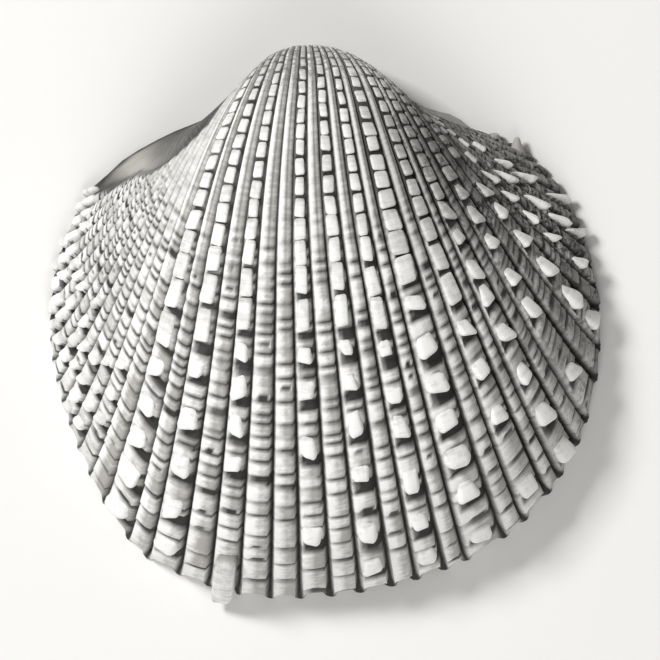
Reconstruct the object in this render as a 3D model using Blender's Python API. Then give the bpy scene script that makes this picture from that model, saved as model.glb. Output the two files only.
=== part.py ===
"""Cockle shell: one ribbed and scaly valve of a sea shell, lying on the edge of its margin.

Metres, +Z up. X runs across the valve, +Y points to the beak and the valve bulges towards +Z. The
lowest point is on the ground plane and the outline is centred on the origin.

The valve grows as a spiral: every growth line is the margin made smaller and turned about the hinge.
A point of the valve is named by its place along the margin, in millimetres of arc from the left end
of the hinge, and by the angle that its growth line has turned.
"""

import math

import bmesh
import bpy
import numpy as np
from mathutils import Matrix, Vector

MM = 0.001
ARTICLE = "cockle_shell"

# The margin, seen along the hinge axis: distance from the beak along the hinge, and below the hinge, in mm
OUTLINE = (
    (-8.7, 0.0), (-11.3, 1.5), (-14.6, 2.5), (-18.6, 4.2), (-21.9, 6.0), (-24.9, 8.8),
    (-27.2, 12.2), (-30.0, 18.6), (-31.0, 28.0), (-29.1, 37.8), (-25.5, 46.7), (-22.9, 50.8),
    (-19.3, 54.0), (-9.6, 57.9), (2.3, 58.4), (14.0, 56.1), (23.1, 51.2), (29.6, 43.2),
    (33.0, 33.7), (33.4, 24.0), (31.0, 15.0), (26.6, 8.8), (21.4, 5.6), (18.3, 3.0),
    (14.9, 1.8), (12.4, 0.0),
)
OUTLINE_STEPS = 20
HINGE_SLOPE = math.radians(3.5)  # the hinge rises to the right
BEAK_PLACE = (-3.0, 26.94, 0.0)  # where the hinge axis meets the beak, in mm
BULGE = 0.94  # depth against a true spiral

# Growth: how fast the growth lines shrink as they turn, in radians
SHRINK = 0.72
SHRINK_DELAY = 0.2
BEAK_SHRINK = 0.024
BEAK_LEAN = 1.1  # the beak leans to the right, in mm
LEAN_FROM, LEAN_TO = 0.9, 1.9

BARE_LEFT = 19.2  # length of margin with no ribs, beside the hinge on the left, in mm

# Ribs from the left end to the right, as kind, width at the margin in mm and growth angle of the first
# scale in degrees: n is a narrow scaly rib, s a low one and p a high one with large scales
RIBS = (
    ("n", 1.8, 4), ("n", 2.0, 6), ("n", 2.5, 4), ("n", 2.5, 6), ("n", 2.5, 4), ("n", 2.6, 6),
    ("n", 2.5, 4), ("n", 2.4, 6), ("n", 2.4, 4), ("n", 2.5, 6), ("n", 2.5, 4), ("n", 2.9, 6),
    ("n", 2.9, 4), ("n", 3.3, 6), ("s", 3.7, 0), ("p", 5.1, 5), ("s", 3.1, 0), ("p", 4.1, 9),
    ("s", 3.7, 0), ("p", 3.6, 25), ("s", 3.8, 0), ("s", 3.5, 0), ("p", 3.7, 8), ("s", 3.5, 0),
    ("p", 3.8, 10), ("s", 3.0, 0), ("p", 3.6, 8), ("s", 2.7, 0), ("p", 5.2, 6), ("s", 3.0, 0),
    ("p", 4.3, 9), ("s", 2.4, 0), ("p", 4.3, 7), ("s", 2.9, 0), ("p", 5.0, 13), ("s", 3.6, 0),
    ("p", 4.7, 9), ("s", 2.5, 0), ("p", 2.5, 12), ("s", 2.4, 0), ("p", 2.1, 7), ("s", 2.3, 0),
    ("p", 2.3, 10), ("s", 2.5, 0), ("s", 2.3, 0), ("s", 2.0, 0), ("s", 1.8, 0), ("s", 1.9, 0),
)
RIB_HEIGHT = {"n": 0.35, "s": 0.38, "p": 0.5}
RIB_SHOULDER = 0.14  # where the flat top starts, as a share of the rib's width
GROOVE_FLARE = 0.7  # how far the end of each groove stands out at the margin, in mm
GROWTH_DEGREES = (0, 3, 9, 18, 28, 39, 51, 63, 76, 91, 107, 125, 148, 180)
BARE_COLUMNS = 5

# Steps over which the skin's slope is measured, in radians and in mm of arc
ANGLE_STEP = 0.02
ARC_STEP = 0.2
FLAT = 1e-6

# Scales of each kind of rib that has them: height in mm and count
SCALES = {"n": (0.85, 4), "p": (1.4, 8)}
HEIGHT_FADE = 0.7  # how fast the scales lose height with the size of their growth line
PITCH = {"n": (4.8, 0.0), "p": (8.4, 0.065)}  # degrees at the margin, and how fast it falls up the rib
LEAST_PITCH = 4.0
SCALE_LENGTH = 0.6  # share of the pitch
SCALE_WIDTH = 0.68
SCALE_TOE = 0.2  # height of the end nearer the hinge, as a share
SCALE_SINK = 0.6
SCALE_TAPER = 0.8
SCALE_LEAN = 0.35
SCALE_FLOOR = 0.3  # least height above the ground plane

# The scale that stands past the lower margin: rib, growth angle, then length, height and width in mm
LONG_SCALE = (19, 6.6, 10.0, 1.8, 2.5)
LONG_SHIFT = 0.1  # from the middle of its rib, in mm
LONG_TAPER = 0.9

# The two spines beside the hinge: rib, shift from its middle in mm, growth angle in degrees, then length
# and width at the foot and at the tip in mm
SPINES = ((45, 0.8, 7.0, 2.8, 1.9, 0.6), (47, 0.0, 8.0, 1.8, 1.8, 1.1))
SPINE_WAY = (0.1, 1.0, 0.3)
SPINE_SIDES = 6

# The hollow underneath
WALL = 1.45
HALF_SIZE = 31.0  # mean radius of the margin
SECTION_CENTRE = 28.5  # its centre, below the hinge
HINGE_PLATE = 4.6  # width of the shelf under the hinge
PLATE_FADE = 3.0  # how far the shelf reaches, against its width
PLATE_DEPTH = 1.5
PLATE_ANGLE = 0.06
HOLLOW_DEGREES = (0, 4, 13, 25, 38, 52, 67, 84, 102, 122)
HOLLOW_COLUMNS = 44
HOLLOW_OVERCUT = 1.0
WELD = 1e-5

SHELL_WHITE = (0.72, 0.7, 0.66, 1.0)
SHELL_ROUGHNESS = 0.55


def margin_line():
    """Arc length, distance along the hinge and distance below it, along the smooth margin."""
    points = np.array(OUTLINE)
    points = np.vstack([2 * points[0] - points[1], points, 2 * points[-1] - points[-2]])
    line = []
    for before, here, there, after in zip(points, points[1:], points[2:], points[3:]):
        for t in np.arange(OUTLINE_STEPS) / OUTLINE_STEPS:
            bend = (2 * before - 5 * here + 4 * there - after) * t**2
            twist = (3 * here - before - 3 * there + after) * t**3
            line.append(here + 0.5 * ((there - before) * t + bend + twist))
    line.append(points[-2])
    line = np.array(line)
    steps = np.hypot(*np.diff(line, axis=0).T)
    return np.concatenate([[0.0], np.cumsum(steps)]), line[:, 0], np.maximum(line[:, 1], 0.0)


ARC, ALONG, BELOW = margin_line()


def smooth_step(low, high, value):
    t = min(1.0, max(0.0, (value - low) / (high - low)))
    return t * t * (3 - 2 * t)


def size_at(angle):
    """Size of the growth line at an angle, against the margin."""
    delayed = angle - SHRINK_DELAY * (1 - math.exp(-angle / SHRINK_DELAY))
    return math.exp(-SHRINK * delayed - BEAK_SHRINK * angle**3)


def turned(along, below, angle, size):
    """A point of the growth line's own plane, placed in the valve, in mm."""
    lean = BEAK_LEAN * smooth_step(LEAN_FROM, LEAN_TO, angle)
    return Vector((
        along * size + lean,
        -below * size * math.cos(angle),
        below * size * math.sin(angle) * BULGE,
    ))


def skin_point(arc, angle):
    along = float(np.interp(arc, ARC, ALONG))
    below = float(np.interp(arc, ARC, BELOW))
    return turned(along, below, angle, size_at(angle))


def skin_frame(arc, angle):
    """A point of the smooth skin, its directions across its rib, towards the margin and outward, and how
    square the rib stands on the growth line."""
    low = max(0.0, angle - ANGLE_STEP)
    left = skin_point(max(0.0, arc - ARC_STEP), angle)
    right = skin_point(min(ARC[-1], arc + ARC_STEP), angle)
    ahead = (skin_point(arc, low) - skin_point(arc, low + ANGLE_STEP)).normalized()
    outward = ahead.cross((right - left).normalized())
    square = outward.length
    outward = outward.normalized() if square > FLAT else Vector((0.0, 1.0, 0.0))
    return skin_point(arc, angle), outward.cross(ahead), ahead, outward, square


def rib_edges():
    """Arc length of the groove on the left of each rib, and of the last groove."""
    return BARE_LEFT + np.concatenate([[0.0], np.cumsum([width for _, width, _ in RIBS])])


def skin_columns():
    """Every column of the skin as arc length, height above the smooth skin and flare at the margin."""
    edges = rib_edges()
    columns = [(arc, 0.0, 0.0) for arc in np.linspace(0.0, edges[0], BARE_COLUMNS)]
    for (kind, width, _), left in zip(RIBS, edges):
        columns.append((left + width * RIB_SHOULDER, RIB_HEIGHT[kind], 0.0))
        columns.append((left + width * (1 - RIB_SHOULDER), RIB_HEIGHT[kind], 0.0))
        columns.append((left + width, 0.0, GROOVE_FLARE))
    bare_right = np.linspace(edges[-1], ARC[-1], BARE_COLUMNS)
    return columns + [(arc, 0.0, 0.0) for arc in bare_right[1:]]


def grid_mesh(columns, rows, place):
    """A grid whose corner at each column and row is moved to the point that place gives for them."""
    mesh = bmesh.new()
    bmesh.ops.create_grid(mesh, x_segments=columns - 1, y_segments=rows - 1, size=0.5)
    for vertex in mesh.verts:
        column = round((vertex.co.x + 0.5) * (columns - 1))
        row = round((vertex.co.y + 0.5) * (rows - 1))
        vertex.co = place(column, row)
    return mesh


def close_up(mesh):
    """Fill the open ends, turn the faces outward and split every face into triangles."""
    bmesh.ops.holes_fill(mesh, edges=[edge for edge in mesh.edges if edge.is_boundary], sides=0)
    bmesh.ops.recalc_face_normals(mesh, faces=mesh.faces)
    bmesh.ops.triangulate(mesh, faces=mesh.faces)


def solid_skin():
    """The valve with its ribs, filled down to the ground plane."""
    columns = skin_columns()
    angles = [math.radians(degrees) for degrees in GROWTH_DEGREES]

    def place(column, row):
        arc, height, flare = columns[column]
        angle = angles[row]
        point, _, _, outward, _ = skin_frame(arc, angle)
        on_the_ground = row in (0, len(angles) - 1)
        if row == 0:
            height = flare
        point += outward * height * size_at(angle)
        if on_the_ground or column in (0, len(columns) - 1):
            point.z = 0.0
        return point

    mesh = grid_mesh(len(columns), len(angles), place)
    close_up(mesh)
    return mesh


def add_scale(mesh, arc, angle, length, height, width, taper):
    """One scale: a wedge that rises towards the margin, sunk into its rib."""
    base, across, ahead_way, outward, square = skin_frame(arc, angle)
    for vertex in bmesh.ops.create_cube(mesh, size=1.0)["verts"]:
        side, ahead, top = vertex.co.x, vertex.co.y + 0.5, vertex.co.z > 0
        rise = height * (SCALE_TOE + (1 - SCALE_TOE) * ahead) if top else -SCALE_SINK
        side *= width * square * (taper if top and ahead > 0.5 else 1.0)
        lean = SCALE_LEAN * height * ahead if top else 0.0
        forward = ahead_way * ((ahead - 0.5) * length + lean)
        vertex.co = base + across * side + forward + outward * rise
        vertex.co.z = max(vertex.co.z, SCALE_FLOOR)


def add_spine(mesh, arc, angle, length, foot, tip):
    """One spine: a blunt cone that stands up beside the hinge, sunk into its rib."""
    way = Vector(SPINE_WAY).normalized()
    middle = skin_point(arc, angle) + way * (length / 2 - SCALE_SINK)
    place = Matrix.Translation(middle) @ way.to_track_quat("Z", "Y").to_matrix().to_4x4()
    made = bmesh.ops.create_cone(
        mesh, cap_ends=True, segments=SPINE_SIDES,
        radius1=foot / 2, radius2=tip / 2, depth=length, matrix=place,
    )
    for vertex in made["verts"]:
        vertex.co.z = max(vertex.co.z, SCALE_FLOOR)


def scale_angles(kind, first):
    """Growth angles of a rib's scales, and the pitch at each, in radians."""
    start, fall = PITCH[kind]
    angle = first
    for _ in range(SCALES[kind][1]):
        pitch = max(LEAST_PITCH, start - fall * angle)
        yield math.radians(angle), math.radians(pitch)
        angle += pitch


def scale_mesh():
    """All the scales, as closed wedges that overlap the ribs but not each other."""
    mesh = bmesh.new()
    edges = rib_edges()
    for (kind, rib_width, first), left in zip(RIBS, edges):
        if kind not in SCALES:
            continue
        arc = left + rib_width / 2
        for angle, pitch in scale_angles(kind, first):
            size = size_at(angle)
            reach = pitch * SCALE_LENGTH / 2
            length = (skin_point(arc, angle + reach) - skin_point(arc, angle - reach)).length
            height = SCALES[kind][0] * size**HEIGHT_FADE
            add_scale(mesh, arc, angle, length, height, rib_width * SCALE_WIDTH * size, SCALE_TAPER)
    rib, degrees, length, height, width = LONG_SCALE
    arc = edges[rib] + RIBS[rib][1] / 2 + LONG_SHIFT
    add_scale(mesh, arc, math.radians(degrees), length, height, width, LONG_TAPER)
    for rib, shift, degrees, length, foot, tip in SPINES:
        arc = edges[rib] + RIBS[rib][1] / 2 + shift
        add_spine(mesh, arc, math.radians(degrees), length, foot, tip)
    bmesh.ops.recalc_face_normals(mesh, faces=mesh.faces)
    return mesh


def hollow_mesh():
    """The space under the valve, which narrows into the beak behind the hinge plate."""
    angles = [math.radians(degrees) for degrees in HOLLOW_DEGREES]
    arcs = np.linspace(0.0, ARC[-1], HOLLOW_COLUMNS)

    def place(column, row):
        angle = angles[max(row - 1, 0)]
        size = size_at(angle)
        keep = 1 - WALL / (size * HALF_SIZE)
        arc = arcs[column % HOLLOW_COLUMNS]
        along = float(np.interp(arc, ARC, ALONG)) * keep
        below = float(np.interp(arc, ARC, BELOW))
        below = SECTION_CENTRE + (below - SECTION_CENTRE) * keep
        shelf = 1 - smooth_step(HINGE_PLATE, PLATE_FADE * HINGE_PLATE, below)
        below = max(below, HINGE_PLATE)
        point = turned(along, below, angle, size)
        point.z += PLATE_DEPTH * shelf * size * smooth_step(0.0, PLATE_ANGLE, angle)
        if row == 0:
            point.z = -HOLLOW_OVERCUT
        return point

    mesh = grid_mesh(HOLLOW_COLUMNS + 1, len(angles) + 1, place)
    bmesh.ops.remove_doubles(mesh, verts=mesh.verts, dist=WELD)
    close_up(mesh)
    return mesh


def make_object(name, mesh, collection):
    """An object from a mesh in millimetres, turned so that the hinge slopes."""
    placing = Matrix.Translation(BEAK_PLACE) @ Matrix.Rotation(HINGE_SLOPE, 4, "Z")
    mesh.transform(Matrix.Scale(MM, 4) @ placing)
    data = bpy.data.meshes.new(name)
    mesh.to_mesh(data)
    mesh.free()
    made = bpy.data.objects.new(name, data)
    collection.objects.link(made)
    return made


def shell_material():
    material = bpy.data.materials.new("shell")
    material.use_nodes = True
    shader = material.node_tree.nodes["Principled BSDF"]
    shader.inputs["Base Color"].default_value = SHELL_WHITE
    shader.inputs["Roughness"].default_value = SHELL_ROUGHNESS
    shader.inputs["Metallic"].default_value = 0.0
    return material


def new_collection(name, hidden=False):
    made = bpy.data.collections.new(name)
    made.hide_render = hidden
    bpy.context.scene.collection.children.link(made)
    return made


def combine(target, tool, operation):
    tool.hide_render = True
    tool.display_type = "WIRE"
    modifier = target.modifiers.new(operation.lower(), "BOOLEAN")
    modifier.operation = operation
    modifier.solver = "EXACT"
    modifier.object = tool


def main():
    for leftover in list(bpy.data.objects):
        bpy.data.objects.remove(leftover)
    shell = new_collection(ARTICLE)
    tools = new_collection("shaping", hidden=True)
    valve = make_object("valve", solid_skin(), shell)
    valve.data.materials.append(shell_material())
    combine(valve, make_object("scales", scale_mesh(), tools), "UNION")
    combine(valve, make_object("hollow", hollow_mesh(), tools), "DIFFERENCE")


main()
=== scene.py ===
"""Cockle shell: the finished look of one ribbed and scaly valve that lies on its margin.

Sizes are in millimetres on the valve's own growth surface, and in metres once a piece is placed. A
point of the valve is named by its place along the margin, in millimetres of arc from the left end of
the hinge, and by the angle that its growth line has turned about the hinge.
"""

import logging
import math
from collections.abc import Callable
from dataclasses import dataclass, field
from enum import Enum

import bmesh
import bpy
import numpy as np
from mathutils import Matrix, Vector


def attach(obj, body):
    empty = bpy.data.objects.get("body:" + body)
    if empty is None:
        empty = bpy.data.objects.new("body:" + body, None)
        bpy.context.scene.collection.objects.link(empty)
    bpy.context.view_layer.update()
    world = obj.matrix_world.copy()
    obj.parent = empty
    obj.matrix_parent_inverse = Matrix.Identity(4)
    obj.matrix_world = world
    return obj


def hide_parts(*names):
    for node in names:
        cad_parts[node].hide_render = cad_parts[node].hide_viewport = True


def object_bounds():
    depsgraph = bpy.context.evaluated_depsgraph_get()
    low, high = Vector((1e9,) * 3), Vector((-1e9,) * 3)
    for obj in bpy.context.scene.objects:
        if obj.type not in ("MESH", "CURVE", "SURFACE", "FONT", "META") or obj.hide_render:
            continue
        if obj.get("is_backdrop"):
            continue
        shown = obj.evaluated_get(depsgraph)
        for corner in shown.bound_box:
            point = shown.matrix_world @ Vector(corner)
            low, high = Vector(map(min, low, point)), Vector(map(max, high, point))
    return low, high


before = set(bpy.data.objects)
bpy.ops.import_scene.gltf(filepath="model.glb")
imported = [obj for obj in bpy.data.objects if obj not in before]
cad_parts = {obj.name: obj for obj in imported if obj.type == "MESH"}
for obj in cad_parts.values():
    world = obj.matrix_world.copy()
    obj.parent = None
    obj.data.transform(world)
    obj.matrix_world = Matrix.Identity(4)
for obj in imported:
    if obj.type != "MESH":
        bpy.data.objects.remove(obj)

LOG = logging.getLogger("cockle_shell")
MM = 0.001


class RibKind(Enum):
    """How a rib is built."""

    NARROW = "narrow"
    LOW = "low"
    HIGH = "high"


@dataclass(frozen=True)
class Rib:
    """A rib: its kind, its width at the margin in mm and the growth angles of its large scales."""

    kind: RibKind
    width: float
    scales: tuple[float, ...] = ()


# Ribs in order from the left end of the hinge, in the form kind, width and angles of the large scales
RIBS: tuple[Rib, ...] = (
    Rib(RibKind.NARROW, 1.8, (7.0,)),
    Rib(RibKind.NARROW, 2.0, (6.0, 11.5)),
    Rib(RibKind.NARROW, 2.5, (4.0, 9.0, 14.5)),
    Rib(RibKind.NARROW, 2.5, (6.0, 11.0, 17.0)),
    Rib(RibKind.NARROW, 2.5, (4.0, 9.5, 14.0)),
    Rib(RibKind.NARROW, 2.6, (6.0, 11.0, 16.5, 21.5)),
    Rib(RibKind.NARROW, 2.5, (4.0, 8.5, 13.5, 19.0)),
    Rib(RibKind.NARROW, 2.4, (6.0, 11.0, 16.0, 21.0)),
    Rib(RibKind.NARROW, 2.4, (4.0, 9.0, 14.0, 19.0)),
    Rib(RibKind.NARROW, 2.5, (6.0, 10.5, 15.5, 20.5, 25.5)),
    Rib(RibKind.NARROW, 2.5, (4.0, 9.0, 13.5, 18.5, 24.0)),
    Rib(RibKind.NARROW, 2.9, (6.0, 10.5, 15.0, 20.5, 26.0)),
    Rib(RibKind.NARROW, 2.9, (4.0, 8.5, 13.5, 18.0, 23.5)),
    Rib(RibKind.NARROW, 3.3, (6.0, 11.0, 15.5, 21.0, 26.5)),
    Rib(RibKind.LOW, 3.7),
    Rib(RibKind.HIGH, 5.1, (7.5, 15.5, 21.5, 27.0, 33.0)),
    Rib(RibKind.LOW, 3.1),
    Rib(RibKind.HIGH, 4.1, (9.0, 16.0, 23.0, 29.5, 37.0)),
    Rib(RibKind.LOW, 3.7),
    Rib(RibKind.HIGH, 3.6, (25.5, 31.0, 36.0, 41.0)),
    Rib(RibKind.LOW, 3.8),
    Rib(RibKind.LOW, 3.5),
    Rib(RibKind.HIGH, 3.7, (16.0, 28.5, 36.0, 41.0)),
    Rib(RibKind.LOW, 3.5),
    Rib(RibKind.HIGH, 3.8, (9.0, 15.5, 24.0, 31.0, 36.5, 41.5)),
    Rib(RibKind.LOW, 3.0),
    Rib(RibKind.HIGH, 3.6, (8.5, 15.0, 21.5, 29.0, 33.5, 40.0)),
    Rib(RibKind.LOW, 2.7),
    Rib(RibKind.HIGH, 5.2, (8.0, 16.5, 22.0, 27.5, 33.0, 38.5, 45.0)),
    Rib(RibKind.LOW, 3.0),
    Rib(RibKind.HIGH, 4.3, (10.0, 23.5, 31.0, 37.5)),
    Rib(RibKind.LOW, 2.4),
    Rib(RibKind.HIGH, 4.3, (7.5, 16.5, 24.5, 32.0, 38.5, 43.5, 50.0, 55.5)),
    Rib(RibKind.LOW, 2.9),
    Rib(RibKind.HIGH, 5.0, (14.0, 29.0, 35.5, 43.5, 49.5, 55.5)),
    Rib(RibKind.LOW, 3.6),
    Rib(RibKind.HIGH, 4.7, (9.5, 18.0, 26.5, 34.5, 42.5, 48.5)),
    Rib(RibKind.LOW, 2.5),
    Rib(RibKind.HIGH, 2.5, (13.0, 23.0, 30.5, 38.0, 45.0)),
    Rib(RibKind.LOW, 2.4),
    Rib(RibKind.HIGH, 2.1, (9.0, 17.0, 25.5, 37.0)),
    Rib(RibKind.LOW, 2.3),
    Rib(RibKind.HIGH, 2.3, (10.0, 24.5, 33.0)),
    Rib(RibKind.LOW, 2.5),
    Rib(RibKind.LOW, 2.3),
    Rib(RibKind.LOW, 2.0),
    Rib(RibKind.LOW, 1.8),
    Rib(RibKind.LOW, 1.9),
)


BARE_LEFT = 19.2  # length of margin with no ribs, beside the hinge on the left, in mm
RIB_EDGES = BARE_LEFT + np.concatenate([[0.0], np.cumsum([rib.width for rib in RIBS])])

# Values that the meshes keep on their corners for the finish, painted shade and a painted highlight among
# them
TAGS = ("growth_mm", "across_mm", "painted_shade", "wear_and_light", "mottled_shade", "bare", "inside", "scar")


def smooth_step(low: float, high: float, value: np.ndarray) -> np.ndarray:
    """Rise smoothly from 0 at low to 1 at high."""
    t = np.clip((np.asarray(value, float) - low) / (high - low), 0.0, 1.0)
    return t * t * (3 - 2 * t)


def unit(vectors: np.ndarray) -> np.ndarray:
    """Scale vectors to length 1."""
    return vectors / np.maximum(np.linalg.norm(vectors, axis=-1, keepdims=True), 1e-9)


@dataclass
class Frames:
    """Points of the smooth skin with their directions.

    The directions are across the rib, ahead towards the margin and outward. Square is how square the rib
    stands on the growth line, from 0 to 1.
    """

    point: np.ndarray
    across: np.ndarray
    ahead: np.ndarray
    outward: np.ndarray
    square: np.ndarray


@dataclass
class Growth:
    """The spiral that the valve grows on, and its margin."""

    outline: tuple[tuple[float, float], ...] = (
        (-8.7, 0.0), (-11.3, 1.5), (-14.6, 2.5), (-18.6, 4.2), (-21.9, 6.0), (-24.9, 8.8),
        (-27.2, 12.2), (-30.0, 18.6), (-31.0, 28.0), (-29.1, 37.8), (-25.5, 46.7), (-22.9, 50.8),
        (-19.3, 54.0), (-9.6, 57.9), (2.3, 58.4), (14.0, 56.1), (23.1, 51.2), (29.6, 43.2),
        (33.0, 33.7), (33.4, 24.0), (31.0, 15.0), (26.6, 8.8), (21.4, 5.6), (18.3, 3.0),
        (14.9, 1.8), (12.4, 0.0),
    )
    steps: int = 20
    bulge: float = 0.94
    shrink: float = 0.72
    delay: float = 0.2
    beak_shrink: float = 0.024
    beak_lean: float = 1.1
    beak_place: tuple[float, float, float] = (-3.0, 26.79, 0.0)
    hinge_slope: float = math.radians(3.5)
    angle_step: float = 0.01
    arc_step: float = 0.15
    arc: np.ndarray = field(init=False)
    along: np.ndarray = field(init=False)
    below: np.ndarray = field(init=False)

    def __post_init__(self) -> None:
        """Draw the margin as a smooth line through the outline's points."""
        points = np.array(self.outline)
        points = np.vstack([2 * points[0] - points[1], points, 2 * points[-1] - points[-2]])
        line = []
        for before, here, there, after in zip(points, points[1:], points[2:], points[3:]):
            for t in np.arange(self.steps) / self.steps:
                bend = (2 * before - 5 * here + 4 * there - after) * t**2
                twist = (3 * here - before - 3 * there + after) * t**3
                line.append(here + 0.5 * ((there - before) * t + bend + twist))
        line = np.array([*line, points[-2]])
        lengths = np.hypot(*np.diff(line, axis=0).T)
        self.arc = np.concatenate([[0.0], np.cumsum(lengths)])
        self.along = line[:, 0]
        self.below = np.maximum(line[:, 1], 0.0)

    def size(self, angle: np.ndarray) -> np.ndarray:
        """Size of the growth line at an angle, against the margin."""
        angle = np.asarray(angle, float)
        delayed = angle - self.delay * (1 - np.exp(-angle / self.delay))
        return np.exp(-self.shrink * delayed - self.beak_shrink * angle**3)

    def turned(self, along: np.ndarray, below: np.ndarray, angle: np.ndarray) -> np.ndarray:
        """Place points of the growth lines' own planes in the valve.

        Args:
            along: Distance along the hinge, at the margin's size.
            below: Distance below the hinge, at the margin's size.
            angle: Growth angle in radians.

        Returns:
            The points in mm, with the hinge along X.
        """
        size = self.size(angle)
        lean = self.beak_lean * smooth_step(0.9, 1.9, angle)
        x = along * size + lean
        y = -below * size * np.cos(angle)
        z = below * size * np.sin(angle) * self.bulge
        return np.stack(np.broadcast_arrays(x, y, z), axis=-1)

    def points(self, arc: np.ndarray, angle: np.ndarray) -> np.ndarray:
        """Points of the smooth skin."""
        along = np.interp(arc, self.arc, self.along)
        below = np.interp(arc, self.arc, self.below)
        return self.turned(along, below, angle)

    def frames(self, arc: np.ndarray, angle: np.ndarray) -> Frames:
        """Points of the smooth skin with their directions."""
        low = np.maximum(0.0, angle - self.angle_step)
        ahead = unit(self.points(arc, low) - self.points(arc, low + self.angle_step))
        left = self.points(np.maximum(0.0, arc - self.arc_step), angle)
        right = self.points(np.minimum(self.arc[-1], arc + self.arc_step), angle)
        outward = np.cross(ahead, unit(right - left))
        square = np.linalg.norm(outward, axis=-1)
        outward = unit(outward)
        return Frames(self.points(arc, angle), np.cross(outward, ahead), ahead, outward, square)

    def length(self, angle: np.ndarray) -> np.ndarray:
        """Distance up from the margin to an angle, along a middle rib, in mm."""
        table = np.linspace(0.0, math.pi, 600)
        middle = self.points(np.full(table.shape, self.arc[-1] / 2), table)
        steps = np.linalg.norm(np.diff(middle, axis=0), axis=1)
        return np.interp(angle, table, np.concatenate([[0.0], np.cumsum(steps)]))

    def placing(self) -> Matrix:
        """The move from the hinge's own place to the valve's place, and from mm to metres."""
        turn = Matrix.Rotation(self.hinge_slope, 4, "Z")
        return Matrix.Scale(MM, 4) @ Matrix.Translation(self.beak_place) @ turn


@dataclass
class Columns:
    """The skin's columns: arc length, rib number (-1 for none) and place across the rib, from 0 to 1."""

    arc: np.ndarray
    rib: np.ndarray
    across: np.ndarray

    def kinds(self) -> list[RibKind | None]:
        """The kind of rib that each column is on, or None beside the ribs."""
        return [RIBS[number].kind if number >= 0 else None for number in self.rib]

    def by_kind(self, values: dict[RibKind, float]) -> np.ndarray:
        """A value for each column by its kind of rib, or 0 beside the ribs."""
        return np.array([values.get(kind, 0.0) for kind in self.kinds()])[:, None]

    def of_kind(self, wanted: RibKind) -> np.ndarray:
        """Which columns are on a rib of one kind."""
        return np.array([kind is wanted for kind in self.kinds()])[:, None]

    def gaps(self) -> tuple[np.ndarray, np.ndarray]:
        """Distances to the grooves on the left and on the right, in mm at the margin's size."""
        widths = np.array([RIBS[number].width if number >= 0 else 99.0 for number in self.rib])
        return self.across * widths, (1 - self.across) * widths


@dataclass
class RibForm:
    """The cross section of the ribs, in mm at the margin's size."""

    crest: dict[RibKind, float] = field(
        default_factory=lambda: {RibKind.NARROW: 0.26, RibKind.LOW: 0.34, RibKind.HIGH: 0.3}
    )
    tile: dict[RibKind, float] = field(
        default_factory=lambda: {RibKind.NARROW: 0.06, RibKind.LOW: 0.26, RibKind.HIGH: 0.16}
    )
    crown: float = 0.3
    crown_middle: float = 0.42
    thin: float = 0.2
    thin_length: float = 4.0
    flat: float = 0.3
    open_length: float = 1.6
    old_loss: float = 0.6
    old_degrees: tuple[float, float] = (48.0, 68.0)

    def old(self, angle: np.ndarray) -> np.ndarray:
        """How far up towards the beak, where the ribs carry beads and no ledges, from 0 to 1."""
        low, high = np.radians(self.old_degrees)
        return smooth_step(low, high, angle)

    def top(
        self, kind: RibKind | None, across: np.ndarray, angle: np.ndarray, length: np.ndarray
    ) -> np.ndarray:
        """Height of a rib's top above the smooth skin, without its ledges.

        Args:
            kind: The kind of rib, or None beside the ribs.
            across: Place across the rib, from 0 to 1.
            angle: Growth angle.
            length: Distance up from the margin.

        Returns:
            The height in mm at the margin's size.
        """
        thin = self.thin + (1 - self.thin) * smooth_step(0.0, self.thin_length, length)
        opened = self.flat + (1 - self.flat) * smooth_step(0.0, self.open_length, length)
        worn_down = 1 - self.old_loss * self.old(angle) * (kind is RibKind.HIGH)
        crown = self.crown * (1 - ((across - self.crown_middle) / (1 - self.crown_middle)) ** 2)
        return self.crest.get(kind, 0.0) * thin * worn_down + crown * opened


@dataclass(frozen=True)
class BeakShade:
    """The painted shade on the right of the beak, where the flank turns away from the light."""

    rib: float = 34.5
    degrees: float = 72.0
    wide: float = 5.0
    tall: float = 23.0

    def strength(self, rib: np.ndarray, degrees: np.ndarray) -> np.ndarray:
        """How dark it is at a rib and a growth angle, from 0 to 1."""
        away = ((rib - self.rib) / self.wide) ** 2 + ((degrees - self.degrees) / self.tall) ** 2
        return np.exp(-away)


def grid(points: np.ndarray, tags: dict[str, np.ndarray]) -> bmesh.types.BMesh:
    """Make a grid and move its corners.

    Args:
        points: Corner positions by column and row.
        tags: Values by column and row to keep on the corners under a name. A name left out is 0.

    Returns:
        The new mesh.
    """
    mesh = bmesh.new()
    columns, rows = points.shape[:2]
    bmesh.ops.create_grid(mesh, x_segments=columns - 1, y_segments=rows - 1, size=0.5)
    layers = {name: mesh.verts.layers.float.new(name) for name in TAGS}
    for vertex in mesh.verts:
        column = round((vertex.co.x + 0.5) * (columns - 1))
        row = round((vertex.co.y + 0.5) * (rows - 1))
        vertex.co = points[column, row]
        for name, values in tags.items():
            vertex[layers[name]] = values[column, row]
    return mesh


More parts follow.
